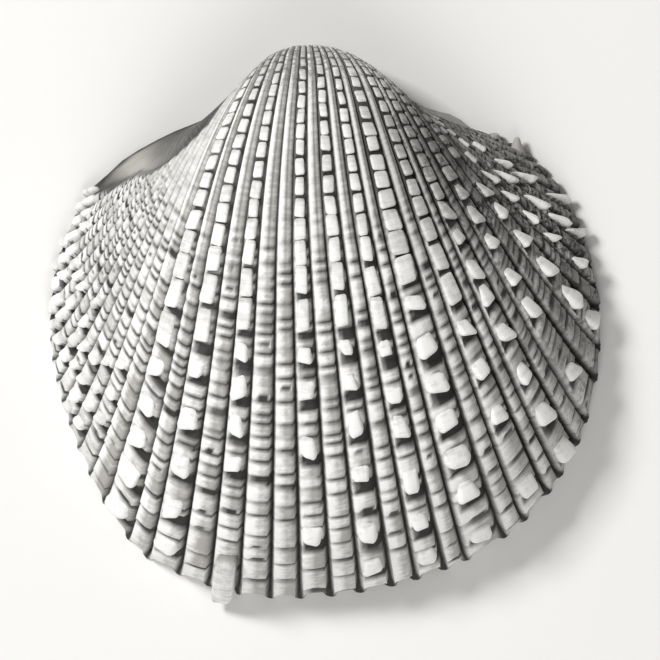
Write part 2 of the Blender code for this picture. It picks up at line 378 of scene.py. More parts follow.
@dataclass(frozen=True)
class Ledges:
    """The overlapping growth ledges across the ribs, one for each pause in growth.

    Each wave of sway in their spacing has a size, a rate and a shift from rib to rib. Scatter spreads their
    wear without a random draw. A tick is the painted shade under a free edge, as places within a ledge.
    """

    pitch: float = 2.35
    crowding: float = 0.011
    rib_shift: float = 0.618
    bow: float = 0.1
    sway: tuple[tuple[float, float, float], ...] = ((0.3, 0.83, 2.1), (0.16, 2.27, 1.3))
    scatter: tuple[float, float, float] = (12.9898, 78.233, 437.585)
    slope: float = 0.8
    undercut: float = 0.3
    undercut_place: tuple[float, float] = (0.78, 0.97)
    tick: tuple[float, float] = (0.74, 0.9)
    tick_widening: float = 0.14
    tick_turn: tuple[float, float] = (0.15, 0.6)
    tick_across: tuple[float, float] = (0.1, 0.45)
    tick_left: float = 0.35
    tick_shade: float = 1.12

    def places(
        self, seen: np.ndarray, rib: np.ndarray, across: np.ndarray
    ) -> tuple[np.ndarray, np.ndarray]:
        """Lay out the ledges.

        Args:
            seen: Distance up from the margin, seen from above, in mm.
            rib: Rib number.
            across: Place across the rib, from 0 to 1.

        Returns:
            Place within a ledge, from 0 at its free edge to 1 under the next, and how rubbed each ledge
            is, from 0 to 1.
        """
        count = seen * (1 + self.crowding * seen) / self.pitch
        phase = count + self.rib_shift * rib + self.bow * (2 * across - 1) ** 2
        for size, rate, shift in self.sway:
            phase = phase + size * np.sin(rate * count + shift * rib)
        along, sideways, spread = self.scatter
        rubbed = np.sin(along * np.floor(phase) + sideways * rib) * spread
        return phase % 1.0, rubbed % 1.0

    def height(self, place: np.ndarray) -> np.ndarray:
        """Height at a place within a ledge, against the height of its free edge."""
        return (1 - place) ** self.slope - self.undercut * smooth_step(*self.undercut_place, place)

    def ticks(
        self, place: np.ndarray, rubbed: np.ndarray, across: np.ndarray, angles: np.ndarray
    ) -> np.ndarray:
        """Paint shade under the free edges, wider where the ledges crowd together and lighter on a rib's
        left.

        Args:
            place: Place within a ledge.
            rubbed: How rubbed the ledge is.
            across: Place across the rib.
            angles: Growth angle.

        Returns:
            The painted shade, from 0.
        """
        start, end = self.tick
        sooner = self.tick_widening * smooth_step(*self.tick_turn, angles)
        furrow = smooth_step(start - sooner, end - sooner, place)
        furrow = furrow * (self.tick_left + (1 - self.tick_left) * smooth_step(*self.tick_across, across))
        return self.tick_shade * furrow * (0.6 + 0.7 * rubbed)


@dataclass
class Lie:
    """What each point of the skin lies on, by column and row.

    Raised is 0 in a groove and 1 on a rib, old is 1 near the beak, length is the distance up from the
    margin in mm, notch is how far it is sunk under a scale, place is where it is within a ledge, and
    rubbed is how rubbed that ledge is.
    """

    raised: np.ndarray
    old: np.ndarray
    length: np.ndarray
    notch: np.ndarray
    place: np.ndarray
    rubbed: np.ndarray


@dataclass(frozen=True)
class PaintedShading:
    """Painted shade on the right flank, which faces away from the light, along its margin and beside the
    beak, and darker mottling over the beak.
    """

    beak_shade: BeakShade = BeakShade()
    beak_shade_weight: float = 0.8
    flank_ribs: tuple[float, float] = (26.0, 40.0)
    flank_shade: float = 0.48
    high_share: float = 0.4
    flank_white_shade: float = 0.8
    edge_shade: float = 0.5
    edge_length: float = 1.2
    edge_spread: float = 1.8
    edge_darkening: float = 0.7
    border_length: float = 5.0
    beak_degrees: tuple[float, float] = (84.0, 104.0)
    beak_mottling: float = 0.7

    def flank(self, rib: np.ndarray) -> np.ndarray:
        """How far a rib lies on the right flank, which gets painted shade, from 0 to 1."""
        return smooth_step(*self.flank_ribs, rib)[:, None]

    def beak_shaded(self, rib: np.ndarray, angles: np.ndarray) -> np.ndarray:
        """How dark the painted shade on the right of the beak is, by column and row."""
        return self.beak_shade.strength(rib[:, None], np.degrees(angles)[None, :])

    def shade(self, columns: Columns, angles: np.ndarray, lie: Lie) -> np.ndarray:
        """Paint shade on the right flank, which faces away from the light, along the margin and beside the
        beak.

        Args:
            columns: The skin's columns.
            angles: The growth angles of its rows.
            lie: What the points lie on.

        Returns:
            The shade by column and row, from 0.
        """
        flank = self.flank(columns.rib)
        # Painted shade along the margin, where the skin turns down, wider and darker on the right flank
        reach = self.edge_length * (1 + self.edge_spread * flank)
        edge = self.edge_shade * np.exp(-((lie.length / reach) ** 2)) * (1 + self.edge_darkening * flank)
        edge = edge * ~columns.of_kind(RibKind.NARROW)
        # Painted shade over the right flank, which faces away from the light, lighter on the high ribs
        share = np.where(columns.of_kind(RibKind.HIGH), self.high_share, 1.0)
        darkened = self.flank_shade * flank * share * (1 - lie.old)
        return edge + darkened + self.beak_shade_weight * self.beak_shaded(columns.rib, angles)

    def mottled_shade(self, columns: Columns, angles: np.ndarray, lie: Lie) -> np.ndarray:
        """Lay the mottled painted shade, with darker mottling over the beak.

        Args:
            columns: The skin's columns.
            angles: The growth angles of its rows.
            lie: What the points lie on.

        Returns:
            The mottled darkening by column and row, from 0 to 1.
        """
        flank = self.flank(columns.rib)
        border = flank * np.exp(-((lie.length / self.border_length) ** 2))
        beak = self.beak_mottling * smooth_step(*self.beak_degrees, np.degrees(angles))
        return np.clip(self.beak_shaded(columns.rib, angles) + flank + border + beak, 0.0, 1.0)


@dataclass
class Valve:
    """The valve itself, with its ribs, growth ledges, hollow and hinge plate."""

    growth: Growth
    form: RibForm
    notches: dict[int, list[tuple[float, float]]]
    ledges: Ledges = Ledges()
    painted_shading: PaintedShading = PaintedShading()
    bare_columns: int = 9
    bare_edge: tuple[tuple[float, ...], tuple[float, ...]] = ((0, 6, 38, 61, 80), (0, 0.5, 5.5, 18, 28))
    across_wide: tuple[float, ...] = (0.05, 0.12, 0.24, 0.42, 0.56, 0.7, 0.84, 0.94)
    across_narrow: tuple[float, ...] = (0.1, 0.24, 0.5, 0.78, 0.91)
    first_step: float = 0.0052
    step_growth: float = 0.0095
    groove_depth: dict[RibKind, float] = field(
        default_factory=lambda: {RibKind.NARROW: 0.42, RibKind.LOW: 0.55, RibKind.HIGH: 0.55}
    )
    groove_left: tuple[float, float] = (0.03, 0.34)
    groove_right: tuple[float, float] = (0.1, 0.6)
    notch_depth: float = 0.55
    old_ledge: float = 0.85
    tip_flare: float = 1.05
    tip_width: float = 0.8
    tip_corner: float = 0.7
    tip_length: float = 1.6
    tip_share: tuple[tuple[float, ...], tuple[float, ...]] = (
        (0, 12, 16, 33, 39, 47), (0.55, 0.7, 1, 1, 0.35, 0.3),
    )
    narrow_wear: float = 0.6
    off_highlight_white: float = 0.16
    highlight_band: tuple[float, float, float, float] = (0.02, 0.1, 0.3, 0.54)
    ledge_wear: float = 0.6
    split_place: float = 0.56
    split_width: float = 0.1
    split_shade: dict[RibKind, float] = field(
        default_factory=lambda: {RibKind.NARROW: 0.1, RibKind.LOW: 0.55, RibKind.HIGH: 0.85}
    )
    patch_place: tuple[float, float] = (-20.2, -6.4)
    patch_radius: float = 2.4
    rim_line: float = 0.9
    foot: float = 0.1
    wall: float = 1.45
    half_size: float = 31.0
    section_centre: float = 28.5
    plate: float = 4.6
    plate_fade: float = 3.0
    plate_depth: float = 1.5
    plate_angle: float = 0.06
    plate_recess: float = 0.5
    plate_columns: int = 14
    inner_degrees: tuple[float, ...] = (
        0, 1.0, 2.2, 3.6, 5.2, 7, 9, 11.5, 15, 17.5, 20, 23, 26, 29.5, 33, 37, 41, 45.5, 50, 55, 60, 66,
        72, 86, 102, 122,
    )
    frill: float = 0.3
    frill_length: float = 4.5
    scar_ovals: tuple[tuple[float, float, float, float], ...] = (
        (-19.0, -17.0, 5.0, 6.5), (21.0, -16.0, 5.5, 6.5),
    )

    def columns(self) -> Columns:
        """Lay out the skin's columns, close together at the grooves."""
        edges = RIB_EDGES
        rows = [(arc, -1, 0.5) for arc in np.linspace(0.0, edges[0], self.bare_columns)[:-1]]
        for number, (rib, left) in enumerate(zip(RIBS, edges)):
            places = self.across_narrow if rib.kind is RibKind.NARROW else self.across_wide
            rows += [(left + place * rib.width, number, place) for place in (0.0, *places)]
        rows.append((edges[-1], len(RIBS) - 1, 1.0))
        bare = np.linspace(edges[-1], self.growth.arc[-1], self.bare_columns)
        rows += [(arc, -1, 0.5) for arc in bare[1:]]
        table = np.array(rows)
        return Columns(table[:, 0], table[:, 1].astype(int), table[:, 2])

    def angles(self) -> np.ndarray:
        """Growth angles of the skin's rows, close together near the margin."""
        found = [0.0, self.foot / 60.0]
        while found[-1] < math.pi:
            found.append(found[-1] + self.first_step + self.step_growth * found[-1])
        found[-1] = math.pi
        return np.array(found)

    def notched(self, columns: Columns, length: np.ndarray) -> np.ndarray:
        """How far each point is sunk under the free edge of a large scale, from 0 to 1."""
        sunk = np.zeros((len(columns.rib), length.shape[-1]))
        beside = smooth_step(0.1, 0.3, columns.across)
        for number, spans in self.notches.items():
            rows = columns.rib == number
            for low, high in spans:
                there = smooth_step(low - 0.2, low + 0.2, length)
                there = there * (1 - smooth_step(high - 0.1, high + 0.2, length))
                sunk[rows] = np.maximum(sunk[rows], beside[rows, None] * there)
        return sunk

    def lie(self, columns: Columns, angles: np.ndarray) -> Lie:
        """Work out what each point of the skin lies on.

        Args:
            columns: The skin's columns.
            angles: The growth angles of its rows.

        Returns:
            What the points lie on.
        """
        left, right = columns.gaps()
        raised = (smooth_step(*self.groove_left, left) * smooth_step(*self.groove_right, right))[:, None]
        length = self.growth.length(angles)[None, :]
        seen = self.growth.below.max() * (1 - self.growth.size(angles) * np.cos(angles))
        place, rubbed = self.ledges.places(seen[None, :], columns.rib[:, None], columns.across[:, None])
        notch = self.notched(columns, length) * raised
        return Lie(raised, self.form.old(angles)[None, :], length, notch, place, rubbed)

    def height(self, columns: Columns, angles: np.ndarray, lie: Lie) -> np.ndarray:
        """Work out the ribs, ledges, grooves, notches and flared tips.

        Args:
            columns: The skin's columns.
            angles: The growth angles of its rows.
            lie: What the points lie on.

        Returns:
            The height above the smooth skin, in mm at the margin's size.
        """
        ribs = zip(columns.kinds(), columns.across)
        top = np.array([self.form.top(kind, across, angles, lie.length[0]) for kind, across in ribs])
        opened = smooth_step(0.0, self.form.open_length, lie.length)
        ledge = columns.by_kind(self.form.tile) * (1 - self.old_ledge * lie.old)
        ledge = ledge * self.ledges.height(lie.place) * opened
        groove = columns.by_kind(self.groove_depth) * (1 - lie.raised) * opened
        left, right = columns.gaps()
        tip = self.tip_corner * np.exp(-((np.minimum(left, right) / self.tip_width) ** 4))
        tip = tip + (1 - self.tip_corner) * (2 * columns.across - 1) ** 2
        tip = (tip * np.interp(columns.rib, *self.tip_share))[:, None]
        flare = self.tip_flare * tip * np.exp(-lie.length / self.tip_length)
        return lie.raised * (top + ledge) - groove - self.notch_depth * lie.notch + flare

    def painted_shade(self, columns: Columns, angles: np.ndarray, lie: Lie) -> np.ndarray:
        """Paint shade in grooves, under ledges and scales, near the beak, on the right flank and at the
        margin.

        Args:
            columns: The skin's columns.
            angles: The growth angles of its rows.
            lie: What the points lie on.

        Returns:
            The painted shade, from 0 in the open to 1 in a groove.
        """
        across = columns.across[:, None]
        # Painted shade in the grooves, reaching further into the right side of each rib, away from the light
        gully = (1 - lie.raised) * (1 - 0.2 * lie.old)
        # Painted shade under the ledges' free edges
        ticks = self.ledges.ticks(lie.place, lie.rubbed, across, angles) * lie.raised * (1 - lie.old)
        # Painted shade along the middle of the low ribs and over the high ribs between their beads, near the
        # beak
        split = np.exp(-(((across - self.split_place) / self.split_width) ** 2))
        split = np.where(columns.of_kind(RibKind.LOW), split, 1.0) * columns.by_kind(self.split_shade)
        split = split * lie.old * lie.raised
        # The notch is painted shadow under the large scales as well as a sunk hollow; the rest is painted
        # shade on the flank, margin and beak
        shade = gully + ticks + lie.notch + split + self.painted_shading.shade(columns, angles, lie)
        return np.clip(shade, 0.0, 1.0)

    def wear_and_light(self, columns: Columns, lie: Lie) -> np.ndarray:
        """How white each point is, from 0 to 1: wear, a painted highlight and painted shade on the flank."""
        across = columns.across[:, None]
        # The band is a painted highlight on the left side of each rib, where the light falls
        rise, full, fall, end = self.highlight_band
        band = smooth_step(rise, full, across) * (1 - smooth_step(fall, end, across))
        band = self.off_highlight_white + (1 - self.off_highlight_white) * band
        wear_and_light = np.where(columns.of_kind(RibKind.NARROW), self.narrow_wear, band)
        # Painted shade on the right flank takes away its whiteness
        wear_and_light = wear_and_light * (1 - self.painted_shading.flank_white_shade * self.painted_shading.flank(columns.rib))
        return np.clip(wear_and_light + self.ledge_wear * (lie.rubbed - 0.45) * (1 - lie.old), 0.0, 1.0)

    def beside_band(self, columns: Columns, angles: np.ndarray) -> np.ndarray:
        """Distance to the right of the smooth band's lower edge, in mm of the margin's arc."""
        return columns.arc[:, None] - BARE_LEFT - np.interp(np.degrees(angles), *self.bare_edge)[None, :]

    def bare_marks(
        self, columns: Columns, angles: np.ndarray, points: np.ndarray
    ) -> tuple[np.ndarray, np.ndarray]:
        """Mark the smooth band beside the hinge on the left.

        Args:
            columns: The skin's columns.
            angles: The growth angles of its rows.
            points: The skin's points in mm.

        Returns:
            The lighter patch, and the painted shade along the band's lower edge and its rim, each from 0 to
            1.
        """
        beside = self.beside_band(columns, angles)
        # Painted shade along the band's lower edge, and along the rim where the skin turns down to the floor
        border = smooth_step(-2.2, -0.8, beside) * (1 - smooth_step(0.2, 1.2, beside))
        x, y = self.patch_place
        away = np.hypot(points[..., 0] - x, points[..., 1] - y) / self.patch_radius
        rim = 1 - smooth_step(0.3, 1.6, points[..., 2])
        patch = np.exp(-(away**2)) * (1 - rim)
        return patch, self.rim_line * np.maximum(border, rim * (beside < 0)) * (1 - 0.4 * patch)

    def skin(self) -> bmesh.types.BMesh:
        """The outside, from the margin up over the bulge and round the beak to the ground plane."""
        columns = self.columns()
        angles = self.angles()
        frames = self.growth.frames(columns.arc[:, None], angles[None, :])
        lie = self.lie(columns, angles)
        size = self.growth.size(angles)[None, :]
        smooth = smooth_step(-2.0, 0.8, self.beside_band(columns, angles))
        cover = smooth * (columns.rib >= 0)[:, None]
        height = cover * self.height(columns, angles, lie)
        height[:, 0] = np.minimum(height[:, 1], height[:, 0]) - self.foot
        points = frames.point + frames.outward * (height * size)[..., None]
        points[:, [0, -1], 2] = 0.0
        points[[0, -1], :, 2] = 0.0
        points[:, 1:-1, 2] = np.maximum(points[:, 1:-1, 2], 0.0)
        patch, border = self.bare_marks(columns, angles, points)
        tags = {
            "growth_mm": np.broadcast_to(lie.length, height.shape),
            "across_mm": columns.arc[:, None] * size,
            # Painted shade, whiteness from wear and a painted highlight, and mottled painted shade
            "painted_shade": np.maximum(cover * self.painted_shade(columns, angles, lie), border),
            "wear_and_light": cover * self.wear_and_light(columns, lie) + (1 - smooth) * patch,
            "mottled_shade": cover * self.painted_shading.mottled_shade(columns, angles, lie),
            "bare": 1 - smooth,
        }
        return grid(points, tags)

    def hollow(self) -> bmesh.types.BMesh:
        """The inside, from the margin and the hinge plate up into the beak."""
        columns = self.columns()
        angles = np.radians(self.inner_degrees)
        size = self.growth.size(angles)[None, :]
        along = np.interp(columns.arc, self.growth.arc, self.growth.along)
        below = np.interp(columns.arc, self.growth.arc, self.growth.below)
        crossing = np.linspace(along[-1], along[0], self.plate_columns + 2)[1:]
        along = np.concatenate([along, crossing])[:, None]
        below = np.concatenate([below, np.zeros(len(crossing))])[:, None]
        across = np.concatenate([columns.across, np.zeros(len(crossing))])[:, None]
        ribbed = np.concatenate([columns.rib >= 0, np.zeros(len(crossing), bool)])[:, None]
        length = self.growth.length(angles)[None, :]
        fade = np.exp(-((length / self.frill_length) ** 2))
        wall = self.wall + self.frill * ribbed * np.cos(2 * np.pi * across) * fade
        keep = 1 - wall / (size * self.half_size)
        below = self.section_centre + (below - self.section_centre) * keep
        shelf = 1 - smooth_step(self.plate, self.plate_fade * self.plate, below)
        below = np.maximum(below, self.plate)
        points = self.growth.turned(along * keep, below, angles[None, :])
        lift = self.plate_depth * shelf * size * smooth_step(0.0, self.plate_angle, angles)[None, :]
        points[..., 2] += lift
        points[:, 0, 2] = self.plate_recess * smooth_step(0.6, 1.0, shelf[:, 0])
        points[:, 1:, 2] = np.maximum(points[:, 1:, 2], points[:, :1, 2] + 0.05)
        tags = {
            "growth_mm": np.broadcast_to(length, points.shape[:2]),
            "across_mm": np.cumsum(np.ones_like(along), axis=0) * size,
            "inside": np.ones(points.shape[:2]),
            "scar": self.scars(points),
        }
        return grid(points, tags)

    def scars(self, points: np.ndarray) -> np.ndarray:
        """Strength of the two muscle scars on the inside, from 0 to 1."""
        found = np.zeros(points.shape[:2])
        for x, y, wide, tall in self.scar_ovals:
            distance = np.hypot((points[..., 0] - x) / wide, (points[..., 1] - y) / tall)
            found = np.maximum(found, 1 - smooth_step(0.7, 1.1, distance))
        return found

    def build(self) -> bmesh.types.BMesh:
        """Join the outside to the inside across the rim and the hinge plate."""
        mesh = self.skin()
        lining = self.hollow()
        bmesh.ops.remove_doubles(lining, verts=lining.verts, dist=1e-4)
        ends = [edge for edge in lining.edges if edge.is_boundary]
        deep = [edge for edge in ends if min(v.co.z for v in edge.verts) > 1.0]
        bmesh.ops.triangle_fill(lining, edges=deep, use_beauty=True)
        joined = bpy.data.meshes.new("lining")
        lining.to_mesh(joined)
        lining.free()
        mesh.from_mesh(joined)
        bpy.data.meshes.remove(joined)
        bmesh.ops.remove_doubles(mesh, verts=mesh.verts, dist=1e-5)
        rim = [edge for edge in mesh.edges if edge.is_boundary]
        bmesh.ops.triangle_fill(mesh, edges=rim, use_beauty=True)
        bmesh.ops.recalc_face_normals(mesh, faces=mesh.faces)
        return mesh


class ScaleForm(Enum):
    """Which unit shape a scale is made from."""

    BLOCK = "block"
    BEAD = "bead"


@dataclass
class Scale:
    """One scale: where it stands, its size in mm and its shape.

    Taper is its width at the upper end against that at its free edge, lean and skew are how far the free
    edge leans to the margin and to the side, and wear is how white it is, from 0 to 1.
    """

    rib: int
    arc: float
    angle: float
    length: float
    height: float
    width: float
    taper: float
    lean: float
    skew: float = 0.0
    wear: float = 1.0
    form: ScaleForm = ScaleForm.BLOCK


@dataclass(frozen=True)
class Spine:
    """A spine beside the hinge: its rib, its shift along the margin, its growth angle and its sizes in mm."""

    rib: int
    shift: float
    degrees: float
    length: float
    foot: float
    tip: float


@dataclass(frozen=True)
class LongScale:
    """The one long scale that stands past the lower margin, with its sizes in mm."""

    rib: int = 19
    shift: float = 0.1
    degrees: float = 6.6
    length: float = 9.8
    height: float = 1.8
    width: float = 2.6
    taper: float = 0.95
    lean: float = 0.35
    wear: float = 0.7

    def scale(self) -> Scale:
        """The long scale on its rib."""
        arc = RIB_EDGES[self.rib] + RIBS[self.rib].width / 2 + self.shift
        turn = math.radians(self.degrees)
        sizes = (self.length, self.height, self.width, self.taper, self.lean)
        return Scale(self.rib, arc, turn, *sizes, wear=self.wear, form=ScaleForm.BEAD)


@dataclass
class Scales:
    """All the scales, beads and spines that stand on the ribs.

    Thorns are the large scales of the narrow ribs, and blocks those of the high ribs, pointed on the right.
    Lengths are in mm and shares are of the rib's width. A spread holds the ends of a random factor.
    """

    growth: Growth
    form: RibForm
    beak_shade: BeakShade = BeakShade()
    seed: int = 7
    sink: float = 0.7
    floor: float = 0.3
    place_across: float = 0.46
    block_toe: float = 0.05
    bead_toe: float = 0.6
    block_bevel: float = 0.27
    bead_bevel: float = 0.17
    block_wobble: float = 0.09
    bead_wobble: float = 0.03
    pointed_ribs: tuple[float, float] = (27.0, 38.0)
    grown: float = 0.7
    thorn_length: float = 1.8
    block_length: float = 2.9
    pointed_length: float = 0.3
    length_spread: tuple[float, float] = (0.7, 1.2)
    thorn_height: float = 0.8
    block_height: float = 1.15
    height_spread: tuple[float, float] = (0.75, 1.05)
    thorn_share: float = 0.72
    block_share: float = 0.74
    width_spread: tuple[float, float] = (0.85, 1.1)
    thorn_taper: tuple[float, float] = (0.5, 0.9)
    block_taper: tuple[float, float] = (0.7, 0.95)
    pointed_taper: float = 0.45
    block_lean: float = 0.35
    skew_spread: tuple[float, float] = (-0.15, 0.2)
    pointed_skew: float = 0.22
    thorn_wear: float = 0.6
    block_wear: float = 0.85
    missing_thorns: float = 0.3
    bead_pitch: tuple[tuple[float, ...], tuple[float, ...]] = (
        (30, 45, 60, 75, 95), (6.2, 5.2, 4.0, 4.2, 5.8),
    )
    last_bead: float = 128.0
    bead_share: float = 0.7
    bead_length: float = 0.88
    bead_height: float = 0.75
    bead_taper: float = 0.95
    bead_lean: float = 0.2
    bead_spread: tuple[float, float] = (0.9, 1.1)
    bead_wear: tuple[float, float] = (0.72, 1.0)
    flat_degrees: tuple[float, float] = (80.0, 100.0)
    dull_degrees: tuple[float, float] = (88.0, 112.0)
    sparse_ribs: tuple[float, float] = (33.0, 38.5)
    missing_beads: float = 0.4
    notched_bead: float = 1.8
    notch_length: float = 1.5
    notch_steep: float = 0.9
    notch_steep_angle: float = 0.3
    thorn_notch: float = 0.75
    long_scale: LongScale = LongScale()
    spines: tuple[Spine, ...] = (Spine(45, 0.8, 7.0, 2.8, 2.8, 0.5), Spine(47, 0.0, 8.0, 1.8, 2.2, 1.1))
    spine_way: tuple[float, float, float] = (0.1, 1.0, 0.3)
    listed: list[Scale] = field(init=False)

    def __post_init__(self) -> None:
        """List every scale in order along the margin, with a little unevenness."""
        chance = np.random.default_rng(self.seed)
        self.listed = []
        for number, (rib, left) in enumerate(zip(RIBS, RIB_EDGES)):
            arc = left + rib.width * self.place_across
            for angle in rib.scales:
                if rib.kind is RibKind.HIGH or chance.uniform() > self.missing_thorns:
                    self.listed.append(self.large(number, arc, angle, chance))
            if rib.kind is RibKind.HIGH:
                self.listed += self.beads(number, arc, chance)
        self.listed.append(self.long_scale.scale())

    def unit_shapes(self) -> dict[ScaleForm, bmesh.types.BMesh]:
        """Cubes with rounded edges, finer for the larger scales."""
        shapes = {}
        sorts = ((ScaleForm.BLOCK, self.block_bevel, 4), (ScaleForm.BEAD, self.bead_bevel, 2))
        for form, offset, segments in sorts:
            mesh = bmesh.new()
            bmesh.ops.create_cube(mesh, size=1.0)
            bmesh.ops.bevel(
                mesh, geom=mesh.edges[:], offset=offset, offset_type="OFFSET",
                affect="EDGES", segments=segments, profile=0.5, material=-1,
            )
            shapes[form] = mesh
        return shapes

    def large(self, number: int, arc: float, angle: float, chance: np.random.Generator) -> Scale:
        """Make a large scale: blocky in the middle, pointed on the right and small on the left.

        Args:
            number: The rib's number.
            arc: The scale's place along the margin.
            angle: Its growth angle in degrees.
            chance: The source of its unevenness.

        Returns:
            The scale.
        """
        rib = RIBS[number]
        turn = math.radians(angle)
        size = float(self.growth.size(turn))
        grown = size**self.grown
        pointed = float(smooth_step(*self.pointed_ribs, number))
        if rib.kind is RibKind.NARROW:
            length, height, share = self.thorn_length, self.thorn_height, self.thorn_share
            tapers, narrowed, least = self.thorn_taper, 0.0, self.thorn_wear
        else:
            length = self.block_length + self.pointed_length * pointed
            height, share = self.block_height, self.block_share
            tapers, narrowed, least = self.block_taper, self.pointed_taper * pointed, self.block_wear
        length = length * grown * chance.uniform(*self.length_spread)
        height = height * grown * chance.uniform(*self.height_spread)
        width = rib.width * share * size * chance.uniform(*self.width_spread)
        taper = chance.uniform(*tapers) - narrowed
        lean = self.block_lean * (1 + pointed)
        skew = chance.uniform(*self.skew_spread) + self.pointed_skew * pointed
        wear = chance.uniform(least, 1.0)
        return Scale(number, arc, turn, length, height, width, taper, lean, skew, wear)

    def beads(self, number: int, arc: float, chance: np.random.Generator) -> list[Scale]:
        """Make the beads above the large scales of a high rib, up over the beak.

        Args:
            number: The rib's number.
            arc: The beads' place along the margin.
            chance: The source of their unevenness.

        Returns:
            The beads, flatter and duller towards the beak, and fewer on the right.
        """
        found = []
        rib = RIBS[number]
        angle = rib.scales[-1]
        sparse = float(smooth_step(*self.sparse_ribs, number))
        while angle < self.last_bead:
            pitch = float(np.interp(angle, *self.bead_pitch)) * (1 + self.missing_beads * sparse)
            angle += pitch * chance.uniform(0.88, 1.12)
            turn = math.radians(angle)
            size = float(self.growth.size(turn))
            there = self.growth.points(np.array(arc), np.array(turn + math.radians(pitch)))
            here = self.growth.points(np.array(arc), np.array(turn))
            length = float(np.linalg.norm(there - here)) * (self.bead_length - 0.25 * sparse)
            height = self.bead_height * size * chance.uniform(*self.bead_spread)
            height *= 1 - 0.55 * float(smooth_step(*self.flat_degrees, angle))
            width = rib.width * self.bead_share * size * chance.uniform(*self.bead_spread)
            skew = chance.uniform(-0.08, 0.08)
            wear = chance.uniform(*self.bead_wear) * (1 - 0.7 * float(smooth_step(*self.dull_degrees, angle)))
            if chance.uniform() > self.missing_beads * sparse:
                sizes = (length, height, width, self.bead_taper, self.bead_lean)
                found.append(Scale(number, arc, turn, *sizes, skew, wear, ScaleForm.BEAD))
        return found

    def notches(self) -> dict[int, list[tuple[float, float]]]:
        """Where the skin is sunk under each large scale's free edge, as distances up its rib from and to."""
        found: dict[int, list[tuple[float, float]]] = {}
        for scale in self.listed:
            if scale.form is ScaleForm.BLOCK or scale.length > self.notched_bead:
                edge = float(self.growth.length(np.array(scale.angle))) - scale.length / 2
                steep = self.notch_steep * math.exp(-scale.angle / self.notch_steep_angle)
                reach = self.notch_length * float(self.growth.size(scale.angle)) ** self.grown * (1 + steep)
                if RIBS[scale.rib].kind is RibKind.NARROW:
                    reach *= self.thorn_notch
                found.setdefault(scale.rib, []).append((edge - scale.lean * scale.height - reach, edge))
        return found

    def shaped(self, local: np.ndarray, scale: Scale) -> tuple[np.ndarray, dict[str, np.ndarray]]:
        """Shape a unit block to its place on a rib.

        Args:
            local: The block's corners, within half a unit of its middle.
            scale: The scale that it becomes.

        Returns:
            The corners in mm, and the values to keep on them by name.
        """
        frames = self.growth.frames(np.array(scale.arc), np.array(scale.angle))
        bead = scale.form is ScaleForm.BEAD
        wobble = self.bead_wobble if bead else self.block_wobble
        toe = self.bead_toe if bead else self.block_toe
        phase = 3.1 * scale.arc + 17.0 * scale.angle
        side = local[:, 0] * (1 + wobble * np.sin(5.0 * local[:, 1] + phase))
        along = local[:, 1] + 0.5 + wobble * np.sin(4.0 * local[:, 0] + 1.7 * phase)
        along = np.clip(along, 0.0, 1.1)
        up = local[:, 2] + 0.5
        start = float(self.growth.length(np.array(scale.angle)))
        size = float(self.growth.size(scale.angle))
        rib = RIBS[scale.rib]
        across = self.place_across + side * scale.width / (rib.width * size)
        under = self.form.top(rib.kind, across, np.array(scale.angle), np.array(start)) * size
        top = under + scale.height * (toe + (1 - toe) * along**0.8) * (1 - 0.12 * (2 * side) ** 2)
        rise = up * (self.sink + top) - self.sink
        side = side * scale.width * float(frames.square) * (scale.taper + (1 - scale.taper) * along)
        side = side + scale.skew * scale.length * (along - 0.5) * up
        forward = (along - 0.5) * scale.length + scale.lean * scale.height * along * up
        moves = ((side, frames.across), (forward, frames.ahead), (rise, frames.outward))
        points = frames.point + sum(share[:, None] * way for share, way in moves)
        points[:, 2] = np.maximum(points[:, 2], self.floor)
        # Painted shade beside the beak and at each scale's foot; painted light whitens it towards its top and
        # free edge
        beak_shade = float(self.beak_shade.strength(scale.rib, math.degrees(scale.angle)))
        wear = scale.wear * (1 - 0.8 * beak_shade) * (0.6 + 0.4 * smooth_step(0.0, 0.4, along))
        tags = {
            "growth_mm": start - forward,
            "across_mm": scale.arc + side,
            "painted_shade": np.maximum(0.6 * (1 - smooth_step(0.3, 0.75, up)), 0.55 * beak_shade),
            "wear_and_light": wear * smooth_step(0.2, 0.8, up),
            "mottled_shade": np.full(len(local), beak_shade),
        }
        return points, tags

    def place(self, mesh: bmesh.types.BMesh, shape: bpy.types.Mesh, scale: Scale) -> None:
        """Add one scale to the mesh."""
        first = len(mesh.verts)
        mesh.from_mesh(shape)
        mesh.verts.ensure_lookup_table()
        new = mesh.verts[first:]
        points, tags = self.shaped(np.array([vertex.co for vertex in new]), scale)
        layers = [(mesh.verts.layers.float[name], values) for name, values in tags.items()]
        for number, vertex in enumerate(new):
            vertex.co = points[number]
            for layer, values in layers:
                vertex[layer] = values[number]

    def spine(self, mesh: bmesh.types.BMesh, spine: Spine) -> None:
        """Add one of the spines that stand up beside the hinge."""
        way = Vector(self.spine_way).normalized()
        arc = RIB_EDGES[spine.rib] + RIBS[spine.rib].width / 2 + spine.shift
        base = Vector(self.growth.points(np.array(arc), np.array(math.radians(spine.degrees))))
        middle = base + way * (spine.length / 2 - self.sink)
        place = Matrix.Translation(middle) @ way.to_track_quat("Z", "Y").to_matrix().to_4x4()
        made = bmesh.ops.create_cone(
            mesh, cap_ends=True, segments=16, radius1=spine.foot / 2, radius2=spine.tip / 2,
            depth=spine.length, matrix=place,
        )
        for vertex in made["verts"]:
            vertex.co.z = max(vertex.co.z, self.floor)

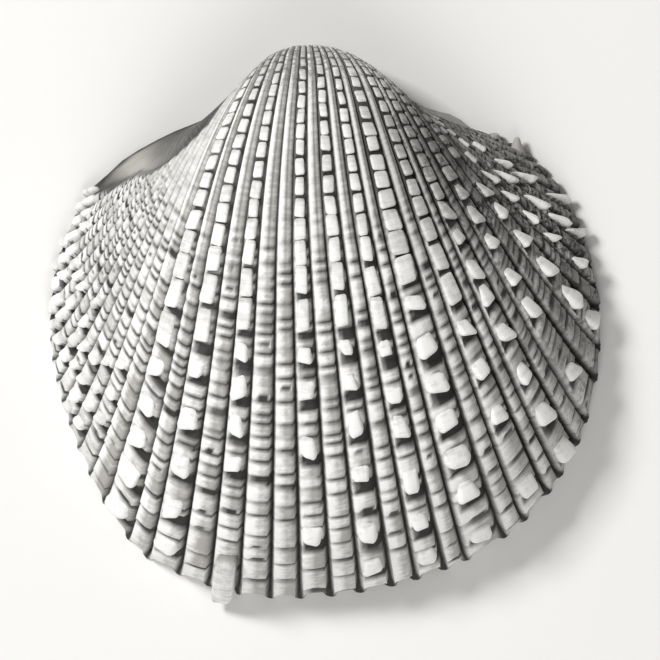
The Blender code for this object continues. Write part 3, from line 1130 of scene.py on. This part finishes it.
    def build(self) -> bmesh.types.BMesh:
        """Make every scale and spine in one mesh."""
        mesh = bmesh.new()
        for name in TAGS:
            mesh.verts.layers.float.new(name)
        shapes = {}
        for form, shape in self.unit_shapes().items():
            shapes[form] = bpy.data.meshes.new(form.value)
            shape.to_mesh(shapes[form])
            shape.free()
        for scale in self.listed:
            self.place(mesh, shapes[scale.form], scale)
        for spine in self.spines:
            self.spine(mesh, spine)
        for shape in shapes.values():
            bpy.data.meshes.remove(shape)
        bmesh.ops.recalc_face_normals(mesh, faces=mesh.faces)
        return mesh


def linear(code: str) -> tuple[float, float, float, float]:
    """Turn an sRGB hex colour into the linear colour that the shaders take."""
    parts = [int(code[i : i + 2], 16) / 255 for i in (1, 3, 5)]
    red, green, blue = (c / 12.92 if c <= 0.04045 else ((c + 0.055) / 1.055) ** 2.4 for c in parts)
    return red, green, blue, 1.0


def add_node(
    tree: bpy.types.NodeTree,
    kind: str,
    settings: dict[str | int, object] | None = None,
    links: dict[str | int, bpy.types.NodeSocket] | None = None,
) -> bpy.types.Node:
    """Add a shader node.

    Args:
        tree: The node tree that gets it.
        kind: The node's type.
        settings: Values for its properties by name, or for its inputs by name or number.
        links: Outputs to join to its inputs, by name or number.

    Returns:
        The new node.
    """
    node = tree.nodes.new(kind)
    for name, value in (settings or {}).items():
        if isinstance(name, str) and hasattr(node, name):
            setattr(node, name, value)
        else:
            node.inputs[name].default_value = value
    for name, output in (links or {}).items():
        tree.links.new(output, node.inputs[name])
    return node


@dataclass(frozen=True)
class Whitening:
    """How a skin turns from its dull colour to its pale one.

    Weights are of the values and patterns that are added up, and span is where the sum starts and ends.
    """

    dull: str
    pale: str
    span: tuple[float, float]
    weights: tuple[tuple[str, float], ...]


@dataclass(frozen=True)
class ShellFinish:
    """Old sea shell, which is layered chalk laid down by the animal and weathered on a shore.

    The rubbed crests are chalky and off-white with a dull sheen, with a painted highlight on the left side
    of each rib. Painted shade darkens the grooves, the ledges' edges, the scales' feet and the right flank.
    Fine growth lines cross every rib, and the inside is smooth like porcelain. Sizes are in mm. The lines and
    the pits are coarser than real ones, so that they show in the render.
    """

    # The whiteness value adds wear and a painted highlight on the left side of each rib
    ribbed: Whitening = Whitening(
        "#aba8a3", "#f4f3f0", (1.45, 2.3),
        (("wear_and_light", 1.0), ("lines", 1.1), ("patches", 0.5), ("striae", 0.35), ("pits", 0.9)),
    )
    smooth: Whitening = Whitening(
        "#2e2d2b", "#b3b0aa", (0.38, 1.0), (("wear_and_light", 0.6), ("lines", 0.5), ("patches", 0.5))
    )
    # Colour of the painted shade in grooves, under ledges and scales, on the right flank and beside the beak
    groove: str = "#2e2d2b"
    lining: str = "#efece6"
    scar: str = "#d9d3c9"
    line_length: float = 2.857
    line_pitch: float = 0.55
    line_depth: float = 0.05
    stria_length: float = 8.333
    stria_pitch: float = 0.3
    pit_size: float = 1.0
    pit_depth: float = 0.02
    patch_size: float = 7.143
    mottle_size: float = 1.0
    mottle_span: tuple[float, float] = (0.4, 0.6)
    roughness: tuple[float, float] = (0.62, 0.28)
    line_strength: tuple[float, float] = (1.0, 0.06)
    ior: float = 1.53
    specular: float = 0.4

    def values(self, tree: bpy.types.NodeTree) -> dict[str, bpy.types.NodeSocket]:
        """Read the mesh's own values and lay the patterns.

        Args:
            tree: The material's node tree.

        Returns:
            By name, every value of TAGS, and lines across the ribs, striae along them, pits, patches and the
            mottle for the painted shade, which run from 0 to 1.
        """
        found = {
            name: add_node(tree, "ShaderNodeAttribute", {"attribute_name": name}).outputs["Fac"]
            for name in TAGS
        }
        spot = add_node(tree, "ShaderNodeTexCoord").outputs["Object"]
        skin = add_node(
            tree, "ShaderNodeCombineXYZ", links={"X": found["across_mm"], "Y": found["growth_mm"]}
        ).outputs[0]
        line_cell = (1 / self.line_length, 1 / self.line_pitch, 1.0)
        stria_cell = (1 / self.stria_pitch, 1 / self.stria_length, 1.0)
        across = add_node(tree, "ShaderNodeMapping", {"Scale": line_cell}, {"Vector": skin}).outputs[0]
        along = add_node(tree, "ShaderNodeMapping", {"Scale": stria_cell}, {"Vector": skin}).outputs[0]
        patterns = (
            ("lines", across, 1.0, 3.0, 0.6),
            ("striae", along, 1.0, 2.0, 0.5),
            ("pits", spot, 1 / (self.pit_size * MM), 4.0, 0.5),
            ("patches", spot, 1 / (self.patch_size * MM), 3.0, 0.5),
            ("mottle", spot, 1 / (self.mottle_size * MM), 4.0, 0.7),
        )
        for name, vector, scale, detail, rough in patterns:
            settings = {"Scale": scale, "Detail": detail, "Roughness": rough}
            noise = add_node(tree, "ShaderNodeTexNoise", settings, {"Vector": vector})
            found[name] = noise.outputs["Fac"]
        return found

    def outside(
        self, tree: bpy.types.NodeTree, values: dict[str, bpy.types.NodeSocket]
    ) -> bpy.types.NodeSocket:
        """Colour the outside: the ribbed skin, the smooth band and, over both, the painted shade and its
        mottle.

        Args:
            tree: The material's node tree.
            values: The mesh's values and the patterns, by name.

        Returns:
            The colour.
        """
        skins = []
        for skin in (self.ribbed, self.smooth):
            links = {}
            for name, weight in skin.weights:
                links[0] = values[name]
                settings = {"operation": "MULTIPLY_ADD", 1: weight, 2: 0.0}
                links[2] = add_node(tree, "ShaderNodeMath", settings, links).outputs[0]
            low, high = skin.span
            share = add_node(
                tree, "ShaderNodeMapRange", {"clamp": True, "From Min": low, "From Max": high},
                {"Value": links[2]},
            ).outputs["Result"]
            colours = {"data_type": "RGBA", 6: linear(skin.dull), 7: linear(skin.pale)}
            skins.append(add_node(tree, "ShaderNodeMix", colours, {0: share}).outputs[2])
        # A noise mottles the mottled painted shade, which joins the painted shade to darken the skin towards
        # the groove colour
        low, high = self.mottle_span
        specks = add_node(
            tree, "ShaderNodeMapRange", {"clamp": True, "From Min": low, "From Max": high},
            {"Value": values["mottle"]},
        ).outputs["Result"]
        darkened = add_node(
            tree, "ShaderNodeMath", {"operation": "MULTIPLY"}, {0: specks, 1: values["mottled_shade"]}
        ).outputs[0]
        dark = add_node(
            tree, "ShaderNodeMath", {"operation": "MAXIMUM"}, {0: values["painted_shade"], 1: darkened}
        ).outputs[0]
        open_skin = add_node(
            tree, "ShaderNodeMix", {"data_type": "RGBA"}, {0: values["bare"], 6: skins[0], 7: skins[1]}
        ).outputs[2]
        return add_node(
            tree, "ShaderNodeMix", {"data_type": "RGBA", 7: linear(self.groove)}, {0: dark, 6: open_skin}
        ).outputs[2]

    def make(self) -> bpy.types.Material:
        """Build the material."""
        material = bpy.data.materials.new("shell")
        material.use_nodes = True
        tree = material.node_tree
        tree.nodes.clear()
        values = self.values(tree)
        inside = values["inside"]
        porcelain = {"data_type": "RGBA", 6: linear(self.lining), 7: linear(self.scar)}
        lining = add_node(tree, "ShaderNodeMix", porcelain, {0: values["scar"]}).outputs[2]
        colour = add_node(
            tree, "ShaderNodeMix", {"data_type": "RGBA"},
            {0: inside, 6: self.outside(tree, values), 7: lining},
        ).outputs[2]
        rough, strength = (
            add_node(
                tree, "ShaderNodeMapRange", {"To Min": outer, "To Max": inner}, {"Value": inside}
            ).outputs["Result"]
            for outer, inner in (self.roughness, self.line_strength)
        )
        lined = add_node(
            tree, "ShaderNodeBump", {"Distance": self.line_depth * MM},
            {"Height": values["lines"], "Strength": strength},
        ).outputs["Normal"]
        pitted = add_node(
            tree, "ShaderNodeBump", {"Distance": self.pit_depth * MM, "Strength": 0.8},
            {"Height": values["pits"], "Normal": lined},
        ).outputs["Normal"]
        shader = add_node(
            tree, "ShaderNodeBsdfPrincipled",
            {"Metallic": 0.0, "IOR": self.ior, "Specular IOR Level": self.specular},
            {"Base Color": colour, "Roughness": rough, "Normal": pitted},
        )
        add_node(tree, "ShaderNodeOutputMaterial", links={"Surface": shader.outputs["BSDF"]})
        return material


@dataclass(frozen=True)
class FloorFinish:
    """Pale painted board under the shell: matt and almost even."""

    colour: str = "#ebeae7"
    rough: float = 0.9

    def make(self) -> bpy.types.Material:
        """Build the material."""
        material = bpy.data.materials.new("floor")
        material.use_nodes = True
        shader = material.node_tree.nodes["Principled BSDF"]
        shader.inputs["Base Color"].default_value = linear(self.colour)
        shader.inputs["Roughness"].default_value = self.rough
        return material


def dress(
    name: str, mesh: bmesh.types.BMesh, material: bpy.types.Material, placing: Matrix, box: list[list[float]]
) -> bpy.types.Object:
    """Turn a mesh in mm into a finished piece of the valve.

    Args:
        name: The piece's name.
        mesh: Its shape, which is freed.
        material: Its finish.
        placing: The move to its place in metres.
        box: The low and high corners that it keeps inside.

    Returns:
        The new object.
    """
    mesh.transform(placing)
    low, high = box
    for vertex in mesh.verts:
        vertex.co = [min(max(c, a), b) for c, a, b in zip(vertex.co, low, high)]
    for face in mesh.faces:
        face.smooth = True
    data = bpy.data.meshes.new(name)
    mesh.to_mesh(data)
    mesh.free()
    data.set_sharp_from_angle(angle=math.radians(62))
    data.materials.append(material)
    made = bpy.data.objects.new(name, data)
    bpy.context.scene.collection.objects.link(made)
    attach(made, "root")
    triangles = sum(len(face.vertices) - 2 for face in data.polygons)
    LOG.info("%s: %d triangles", name, triangles)
    return made


@dataclass
class Studio:
    """A pale floor, soft light from the upper left and a camera that looks straight down."""

    floor_side: float = 3.0
    lens: float = 1200.0
    sensor: float = 36.0
    view_width: float = 0.079
    view_centre: tuple[float, float] = (0.00052, -0.00068)

    def light(self, name: str, place: tuple[float, float, float], side: float, power: float) -> None:
        """Add a square area light that faces the valve."""
        data = bpy.data.lights.new(name, "AREA")
        data.size = side
        data.energy = power
        lamp = bpy.data.objects.new(name, data)
        lamp.location = place
        lamp.rotation_euler = (-Vector(place)).to_track_quat("-Z", "Y").to_euler()
        bpy.context.scene.collection.objects.link(lamp)

    def build(self) -> None:
        """Set up the floor, the lights, the surroundings and the camera."""
        mesh = bmesh.new()
        bmesh.ops.create_grid(mesh, x_segments=1, y_segments=1, size=self.floor_side / 2)
        data = bpy.data.meshes.new("floor")
        mesh.to_mesh(data)
        mesh.free()
        data.materials.append(FloorFinish().make())
        floor = bpy.data.objects.new("floor", data)
        floor.location.z = -0.0001
        bpy.context.scene.collection.objects.link(floor)
        floor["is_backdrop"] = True
        self.light("key", (-0.4, 0.3, 0.56), 0.16, 4.6)
        self.light("fill", (0.0, -0.6, 0.6), 0.6, 3.6)
        world = bpy.data.worlds.new("studio")
        world.use_nodes = True
        world.node_tree.nodes["Background"].inputs["Color"].default_value = (1.0, 1.0, 1.0, 1.0)
        world.node_tree.nodes["Background"].inputs["Strength"].default_value = 0.2
        bpy.context.scene.world = world
        bpy.context.scene.view_settings.view_transform = "Standard"
        camera_data = bpy.data.cameras.new("camera")
        camera_data.lens = self.lens
        camera_data.sensor_width = self.sensor
        camera_data.clip_end = 20.0
        camera = bpy.data.objects.new("camera", camera_data)
        x, y = self.view_centre
        camera.location = (x, y, self.view_width * self.lens / self.sensor)
        bpy.context.scene.collection.objects.link(camera)
        bpy.context.scene.camera = camera


def main() -> None:
    """Build the valve's pieces in order, then the studio around them."""
    logging.basicConfig(level=logging.INFO, format="%(message)s")
    before = [list(corner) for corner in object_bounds()]
    growth = Growth()
    form = RibForm()
    scales = Scales(growth, form)
    valve = Valve(growth, form, scales.notches())
    finish = ShellFinish().make()
    body = dress("shell_valve", valve.build(), finish, growth.placing(), before)
    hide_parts("valve")
    dress("shell_scales", scales.build(), finish, growth.placing(), before)
    Studio().build()


if __name__ == "__main__":
    main()
